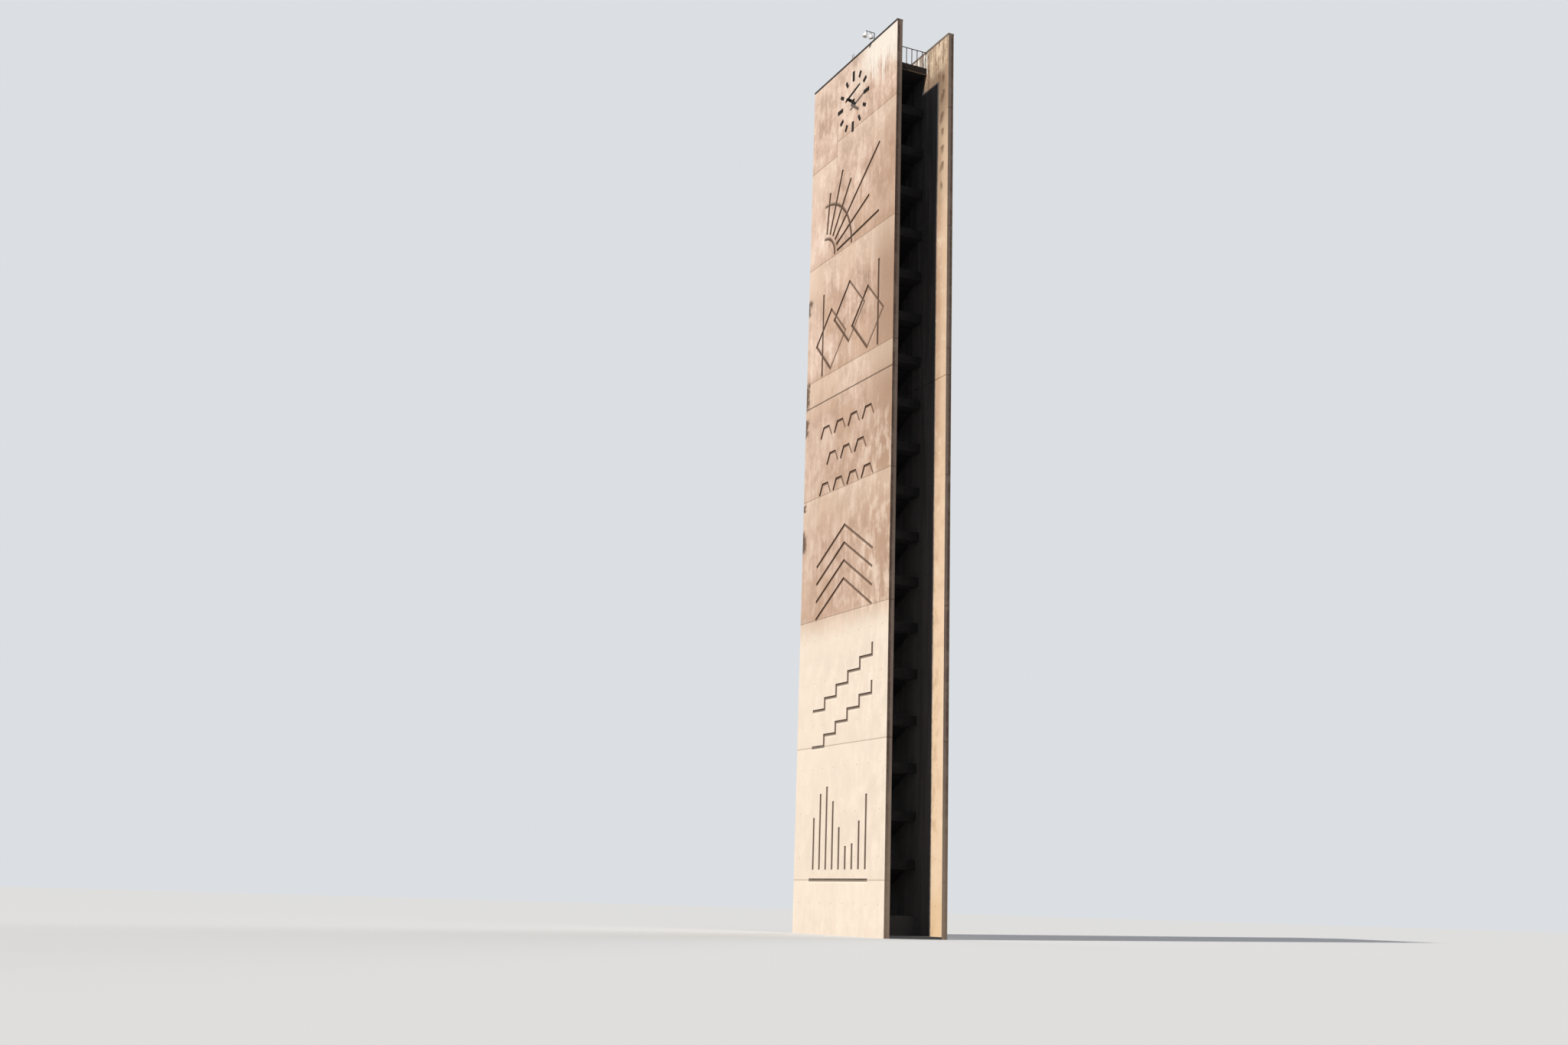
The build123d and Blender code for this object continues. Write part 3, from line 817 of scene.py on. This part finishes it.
def add_fin(mesh, side, level):
    wall = side * outer_face
    steps = round(2 * half_width / fin_step)
    rows = []
    for step in range(steps + 1):
        along = step / steps * 2 * half_width - half_width
        height = fin_height * random.uniform(0.5, 1.5)
        reach = side * fin_reach * random.uniform(0.1, 1.0)
        rise = level + fin_wave * math.sin(along * 3.0)
        if along < seam_place and level > seam_foot:
            rise -= seam_drop
        root = -side * fin_root
        profile = ((root, -height), (reach, 0.0), (root, height))
        rows.append([mesh.verts.new((along, wall + out, rise + up)) for out, up in profile])
    for first, second in zip(rows, rows[1:]):
        for edge in range(2):
            mesh.faces.new((first[edge], second[edge], second[edge + 1], first[edge + 1]))


lift_levels = []
level = lowest_lift
while level < wall_top - 0.5:
    lift_levels.append(level)
    level += lift_height
for side, side_name in slabs:
    fins = bmesh.new()
    for level in lift_levels:
        add_fin(fins, side, level)
    make_piece(f"{side_name}_pour_fins", fins, slab_concrete)

# %% [markdown]
# ## Mortar plugs of the form ties
# Steel ties held the two sides of the formwork together, and each left a cone-shaped hole that was
# closed with mortar. The plugs sit a hair proud of the face, in a grid of a third of a lift. They
# are turned discs, all joined in one mesh for each slab. A ray from outside the wall tells where a
# cut takes a plug's place, and there the plug is left out.

# %% Tie plugs
plug_radius = 0.016
plug_profile = [(plug_radius, -0.004), (plug_radius, 0.0006), (plug_radius * 0.8, 0.0012), (0, 0.0014)]
plug_margin = 0.1
row_height = lift_height / 3
row_count = math.ceil(wall_top / row_height)


def wall_is_whole(walls, side, along, height):
    for x_step, z_step in ((0, 0), (1, 0), (-1, 0), (0, 1), (0, -1)):
        start = Vector((along + x_step * plug_radius, side * 2 * outer_face, height + z_step * plug_radius))
        hits = [wall.ray_cast(start, Vector((0, -side, 0))) for wall in walls]
        reach = max((abs(hit.y) for found, hit, _, _ in hits if found), default=0)
        if reach < outer_face - tolerance:
            return False
    return True


for side, side_name in slabs:
    walls = [frame["nodes"][f"{side_name}_wall_{part}"] for part in ("lower", "upper")]
    plugs = bmesh.new()
    for row in range(-1, row_count):
        height = lowest_lift + (row + 0.5) * row_height
        if not plug_margin < height < wall_top - plug_margin:
            continue
        for column in range(panel_count):
            along = (column + 0.5) * form_panel_width - half_width
            if not wall_is_whole(walls, side, along, height):
                continue
            add_turned(plugs, plug_profile, (along, side * outer_face, height), (0, side, 0), sides=12)
        for end in (-1, 1):
            along = end * (half_width - form_panel_width / 2)
            add_turned(plugs, plug_profile, (along, side * inner_face, height), (0, -side, 0), sides=12)
    make_piece(f"{side_name}_tie_plugs", plugs, mortar)

# %% [markdown]
# ## Mastic in the construction joint
# The joint between the two castings of each slab is a V groove. A bead of mastic lies in it, not
# quite full, so that the groove still reads as a dark line.

# %% Joint beads
bead_depth = 0.01
bead_height = 0.014
bead_end_gap = 0.002
for side, side_name in slabs:
    bead = bmesh.new()
    middle = (0, side * (outer_face - 1.5 * bead_depth), joint_level - bead_height / 2)
    add_block(bead, middle, (2 * (half_width - bead_end_gap), bead_depth, bead_height), bevel=0.003)
    make_piece(f"{side_name}_joint_bead", bead, mastic)

# %% [markdown]
# ## Coping seams and drip edges
# The coping is made of sheets one metre long. At each seam a cover strip is screwed over the gap.
# A drip edge hangs below each long side and keeps the rain off the wall. All are thin blocks, sized
# from the coping's own box, so that they wrap it closely.

# %% Seam strips, their screws and drip edges
sheet_length = 1.02
strip_width = 0.05
strip_rise = 0.003
drip_drop = 0.028
drip_lap = 0.004
drip_thickness = 0.002
screw_places = [(x, y) for x in (-0.015, 0.015) for y in (-0.06, 0.06)]
screw_profile = [(0.007, 0), (0.007, 0.002), (0.004, 0.004), (0, 0.0045)]
coping_top = coping_high.z
coping_middle = (outer_face + inner_face) / 2
coping_half_depth = (coping_high.y - coping_low.y) / 2
strip_top = coping_top + strip_rise
strip_foot = coping_low.z + 0.002
strip_size = (strip_width, 2 * (coping_half_depth + strip_rise), strip_top - strip_foot)
for side, side_name in slabs:
    sheet = sheet_steel if side < 0 else pale_sheet
    across = side * coping_middle
    strips = bmesh.new()
    for seam in range(-2, 3):
        along = seam * sheet_length
        add_block(strips, (along, across, (strip_foot + strip_top) / 2), strip_size, bevel=0.001)
        for screw_x, screw_y in screw_places:
            spot = (along + screw_x, across + screw_y, strip_top)
            add_turned(strips, screw_profile, spot, (0, 0, 1), sides=10)
    make_piece(f"{side_name}_coping_seams", strips, sheet)
    drips = bmesh.new()
    for edge in (-1, 1):
        out = edge * (coping_half_depth - drip_thickness / 2)
        middle = (0, across + out, coping_low.z - drip_drop / 2)
        add_block(drips, middle, (2 * half_width, drip_thickness, drip_drop + drip_lap), bevel=0.0005)
    make_piece(f"{side_name}_coping_drips", drips, sheet)

# %% [markdown]
# ## Fittings of the railing
# Each post stands on a small plate that two bolts hold to the kerb, and a collar of weld joins it
# to the rail. The rail ends in a round flange on each slab. The posts' places come from the corners
# of their feet in the CAD mesh, four to a post.

# %% Post plates, weld collars and rail flanges
post_plate_size = (0.06, 0.06, 0.006)
plate_bolt_out = 0.018
plate_bolt_gap = 0.02
flange_thickness = 0.006
flange_bolt_radius = 0.025
flange_profile = [(0.036, 0.0), (0.036, 0.005), (0.034, flange_thickness), (0.013, flange_thickness)]
weld_profile = [(0.0125, -0.008), (0.0155, -0.004), (0.0155, 0.0), (0.012, 0.004)]
rail_radius = (railing_high.x - railing_low.x) / 2
rail_level = railing_high.z - rail_radius


def post_places(node, foot_level):
    feet = sorted({round(place.y, 4) for place in places_of(node) if place.z < foot_level + tolerance})
    return [(low + high) / 2 for low, high in zip(feet[::2], feet[1::2])]


for end, end_name in ((1, "near"), (-1, "far")):
    fittings = bmesh.new()
    rail_x = end * (railing_low.x + railing_high.x) / 2
    for post_y in post_places(f"{end_name}_deck_railing", railing_low.z):
        plate_middle = (rail_x, post_y, railing_low.z + post_plate_size[2] / 2)
        add_block(fittings, plate_middle, post_plate_size, bevel=0.001)
        for bolt_y in (-plate_bolt_gap, plate_bolt_gap):
            spot = (rail_x + end * plate_bolt_out, post_y + bolt_y, railing_low.z + post_plate_size[2])
            add_bolt(fittings, spot, (0, 0, 1))
        add_turned(fittings, weld_profile, (rail_x, post_y, rail_level - rail_radius), (0, 0, 1), sides=12)
    for side in (-1, 1):
        add_turned(fittings, flange_profile, (rail_x, side * inner_face, rail_level), (0, -side, 0))
        for bolt_x, bolt_z in on_circle(3, flange_bolt_radius, 0.75):
            spot = (rail_x + bolt_x, side * (inner_face - flange_thickness), rail_level + bolt_z)
            add_bolt(fittings, spot, (0, -side, 0))
    make_piece(f"{end_name}_railing_fittings", fittings, bar_steel)

# %% [markdown]
# ## Lamp fronts
# Both lamps look down along their own axis. The axis leans by the lamps' tilt, and the CAD mesh
# gives the rest: the vertices that reach furthest along it are the rim, the nearest are the back.

# %% Lamp rims, ribs, glass and reflectors
lamp_tilt = math.radians(15)
bezel_width = 0.011
rib_places = (0.012, 0.024, 0.036)
nut_profile = [(0.015, -0.01), (0.015, 0.001), (0, 0.001)]
lamp_places = places_of("lamp_heads")
lamps_middle = sum(place.y for place in lamp_places) / len(lamp_places)


def ring_at(places, axis, reach):
    ring = [place for place in places if abs(place.dot(axis) - reach) < tolerance]
    low = Vector([min(place[i] for place in ring) for i in range(3)])
    high = Vector([max(place[i] for place in ring) for i in range(3)])
    return (low + high) / 2, (high.x - low.x) / 2


rims = bmesh.new()
lenses = bmesh.new()
mirrors = bmesh.new()
for lean in (-1, 1):
    axis = Vector((0, -lean * math.sin(lamp_tilt), -math.cos(lamp_tilt)))
    places = [place for place in lamp_places if (place.y - lamps_middle) * lean < 0]
    reaches = [place.dot(axis) for place in places]
    rim_place, rim = ring_at(places, axis, max(reaches))
    back_place, back = ring_at(places, axis, min(reaches))
    glazed = rim - bezel_width
    rolled_edge = [(rim, -0.012), (rim + 0.003, -0.009), (rim + 0.004, -0.002), (rim + 0.002, 0.005)]
    bezel = [(rim - 0.002, 0.006), (glazed, 0.004), (glazed, 0.0)]
    add_turned(rims, rolled_edge + bezel, rim_place, axis, sides=32)
    crest = back + 0.005
    for rib in rib_places:
        rib_profile = [(back, rib - 0.002), (crest, rib - 0.001), (crest, rib + 0.001), (back, rib + 0.002)]
        add_turned(rims, rib_profile, back_place, axis, sides=32)
    add_turned(rims, nut_profile, back_place, axis, sides=6)
    lens = [(0, 0.0025), (glazed, 0.0025), (glazed, 0.004), (rim * 0.6, 0.007), (0, 0.009)]
    add_turned(lenses, lens, rim_place, axis, sides=32)
    add_turned(mirrors, [(glazed, 0.0005), (rim * 0.5, 0.001), (0, 0.002)], rim_place, axis, sides=32)
make_piece("lamp_rims", rims, enamel)
make_piece("lamp_lenses", lenses, glass)
make_piece("lamp_reflectors", mirrors, reflector)

# %% [markdown]
# ## Feet of the lamp post and the rods
# The lamp post and both rods pass through a flange on the coping. Each flange has four bolts, and
# the post's arm is closed by a cap.

# %% Flanges on the coping
post_low, post_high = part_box("lamp_post")
rods_low, rods_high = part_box("coping_rods")
rod_radius = (rods_high.y - rods_low.y) / 2
lamp_post_x = (post_low.x + post_high.x) / 2
lamp_arm_radius = 0.01
arm_level = post_high.z - lamp_arm_radius
arm_cap = [(0.011, 0.0), (0.011, 0.002), (0, 0.003)]
foot_width = 0.026
foot_thickness = 0.005
foot_bolt_out = 0.015


def add_foot(mesh, along, across, radius):
    rim = radius + foot_width
    flange = [(rim, 0.0), (rim, 0.004), (rim - 0.002, foot_thickness)]
    collar = [(radius + 0.004, foot_thickness), (radius + 0.001, 0.016)]
    add_turned(mesh, flange + collar, (along, across, coping_top), (0, 0, 1))
    for bolt_x, bolt_y in on_circle(4, radius + foot_bolt_out, 0.5):
        add_bolt(mesh, (along + bolt_x, across + bolt_y, coping_top + foot_thickness), (0, 0, 1))


lamp_foot = bmesh.new()
add_foot(lamp_foot, lamp_post_x, -coping_middle, (post_high.x - post_low.x) / 2)
add_turned(lamp_foot, arm_cap, (lamp_post_x, post_low.y, arm_level), (0, -1, 0), sides=20)
make_piece("lamp_post_foot", lamp_foot, black_paint)
rod_feet = bmesh.new()
for along in (rods_low.x + rod_radius, rods_high.x - rod_radius):
    add_foot(rod_feet, along, -coping_middle, rod_radius)
make_piece("rod_feet", rod_feet, bar_steel)

# %% [markdown]
# ## Bolts of the dial
# Two dome heads hold each bar to the wall, near its ends, and four bolts hold the spindle's plate.
# A bar's two ends are found from its vertices, as the smallest and largest reach along its hour.

# %% Dial bolts
bolt_inset = 0.035
half_hour = math.radians(15)
wall_plate_thickness = 0.012
plate_bolt_inset = 0.018
plate_bolt_reach = (spindle_high.z - spindle_low.z) / 2 - plate_bolt_inset
mark_thickness = marks_high.y - marks_low.y


def mark_reach(node, direction):
    reaches = []
    for place in places_of(node):
        from_hub = Vector((place.x, place.z - dial_level))
        if from_hub.normalized().dot(direction) > math.cos(half_hour):
            reaches.append(from_hub.dot(direction))
    return min(reaches), max(reaches)


for side, side_name in slabs:
    bolts = bmesh.new()
    mark_face = side * (outer_face + mark_thickness)
    for hour in range(12):
        angle = math.tau * hour / 12
        direction = Vector((math.sin(angle), math.cos(angle)))
        inner_end, outer_end = mark_reach(f"{side_name}_hour_marks", direction)
        for reach in (inner_end + bolt_inset, outer_end - bolt_inset):
            spot = (reach * direction.x, mark_face, dial_level + reach * direction.y)
            add_turned(bolts, dome_head, spot, (0, side, 0), sides=16)
    plate_face = side * (outer_face + wall_plate_thickness)
    for bolt_x in (-plate_bolt_reach, plate_bolt_reach):
        for bolt_z in (-plate_bolt_reach, plate_bolt_reach):
            add_bolt(bolts, (bolt_x, plate_face, dial_level + bolt_z), (0, side, 0))
    make_piece(f"{side_name}_dial_bolts", bolts, black_paint)

# %% [markdown]
# ## Stiffeners of the hands
# A flat hand would flutter in the wind, so a rib runs down the middle of its front from the hub to
# near the tip, and rivets hold it. The hand's tip and tail are its furthest vertices from the
# hub. The rib and rivets ride on the hand's own body, so they turn with it.

# %% Ribs and rivets
hand_thickness = 0.008
hub_radius = 0.04
tip_gap = 0.04
tail_gap = 0.02
rib_width = 0.012
rib_height = 0.01
rivet_step = 0.12
rivet_offset = 0.015
rivet_start_gap = 0.03
rivet_end_gap = 0.02
rivet_profile = [(0.006, 0.0), (0.0055, 0.002), (0.003, 0.0035), (0, 0.004)]


def add_hand_rib(side, side_name, kind):
    hand = f"{side_name}_{kind}_hand"
    low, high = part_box(hand)
    back_y = low.y if side > 0 else high.y
    face_y = back_y + side * hand_thickness
    hub = Vector((0, dial_level))
    flat = [Vector((place.x, place.z)) for place in places_of(hand)]
    reach = max((place - hub).length for place in flat)
    ends = [place - hub for place in flat if (place - hub).length > reach - 2 * tolerance]
    along = sum(ends, Vector((0, 0))).normalized()
    tail = max((hub - place).dot(along) for place in flat)
    rib = bmesh.new()
    for start, stop in ((hub_radius, reach - tip_gap), (-tail + tail_gap, -hub_radius)):
        axes = Matrix(((along.x, 0, -along.y), (0, 1, 0), (along.y, 0, along.x)))
        centre = along * (start + stop) / 2
        middle = (centre.x, face_y + side * rib_height / 2, dial_level + centre.y)
        add_block(rib, middle, (stop - start, rib_height, rib_width), bevel=0.0015, axes=axes)
        rivet = start + rivet_start_gap
        while rivet < stop - rivet_end_gap:
            for across in (-rivet_offset, rivet_offset):
                spot = along * rivet + Vector((-along.y, along.x)) * across
                add_turned(rib, rivet_profile, (spot.x, face_y, dial_level + spot.y), (0, side, 0), sides=12)
            rivet += rivet_step
    make_piece(f"{hand}_rib", rib, black_paint, hand)


for side, side_name in slabs:
    for kind in ("hour", "minute"):
        add_hand_rib(side, side_name, kind)

# %% [markdown]
# ## Floor
# A plain pale floor carries the tower and takes its shadow. The shadows in the photo are deep, so
# the floor has to send little light back to the tower, and still look pale. Its material asks what
# kind of ray has come. The camera, a reflection or a view through glass sees the pale shade, and
# light on its way to the tower meets a darker one.

# %% Floor


def is_seen(add):
    rays = add("LightPath", output=None).outputs
    seen = add("Math", rays["Is Camera Ray"], rays["Is Glossy Ray"], operation="MAXIMUM")
    return add("Math", seen, rays["Is Transmission Ray"], operation="MAXIMUM")


floor_radius = 160.0
floor_material, add = start_material("pale_floor")
seen = is_seen(add)
shown = add("BsdfDiffuse", linear("#D9DADA"))
bounced = add("BsdfDiffuse", linear("#8A8782"))
add("OutputMaterial", add("MixShader", seen, bounced, shown), output=None)
floor_mesh = bmesh.new()
bmesh.ops.create_circle(floor_mesh, cap_ends=True, segments=64, radius=floor_radius)
floor = add_mesh("floor", floor_mesh, floor_material)
print("floor radius:", floor_radius, "m")

# %% [markdown]
# ## Sky and lamps
# The sky follows the same idea: pale to look at, and a weak, slightly blue fill as light. A sun
# lamp stands for the low sun of the photo. Its direction comes from the edge of the shadow that the
# front slab casts on the rear one. Together they light the front at a level of about one, where a
# colour renders as it is written. A wide, weak lamp lights the rear, which the photo doesn't show.

# %% Sky and lamps
world = bpy.data.worlds.new("pale_sky")
bpy.context.scene.world = world
world.use_nodes = True
world.node_tree.nodes.clear()
add = functools.partial(add_node, world.node_tree)
fill = add("Background", linear("#F4F7FF"), 0.28)
backdrop = add("Background", linear("#DBDFE3"), 1.0)
add("OutputWorld", add("MixShader", is_seen(add), fill, backdrop), output=None)


def add_sun(name, travel, energy, width, colour):
    data = bpy.data.lights.new(name, "SUN")
    data.energy = energy
    data.angle = math.radians(width)
    data.color = linear(colour)[:3]
    add_object(name, data).rotation_euler = Vector(travel).to_track_quat("-Z", "Y").to_euler()


add_sun("key_sun", travel=(-1.2, 3.05, -2.65), energy=3.3, width=1.5, colour="#FFFAF3")
add_sun("rear_fill", travel=(0.6, -1.0, -0.5), energy=1.3, width=35.0, colour="#F4F7FF")
print("lamps:", [light.name for light in bpy.data.lights])

# %% [markdown]
# ## Camera
# The camera stands where the photo was taken: at eye height, some 45 metres away in the model's
# scale, looking up. Its place, heading, pitch and roll were found by matching the tower's edges.
# Three turns, one after another, are easier to read and to correct than one matrix of numbers.

# %% Camera
camera_place = Vector((39.737, -21.741, 0.82))
camera_heading = 154.461
camera_pitch = 12.753
camera_roll = 1.702
camera_focal_px = 2186.9
photo_width_px = 2048
camera_data = bpy.data.cameras.new("photo_camera")
camera_data.sensor_fit = "HORIZONTAL"
camera_data.sensor_width = 36.0
camera_data.lens = camera_focal_px / photo_width_px * camera_data.sensor_width
camera_data.clip_end = 500.0
camera = add_object("photo_camera", camera_data)
turn = (
    Matrix.Rotation(math.radians(camera_heading - 90), 4, "Z")
    @ Matrix.Rotation(math.radians(90 + camera_pitch), 4, "X")
    @ Matrix.Rotation(math.radians(camera_roll), 4, "Z")
)
camera.matrix_world = Matrix.Translation(camera_place) @ turn
bpy.context.scene.camera = camera
bpy.context.scene.view_settings.view_transform = "Standard"
print("lens:", round(camera_data.lens, 2), "mm")
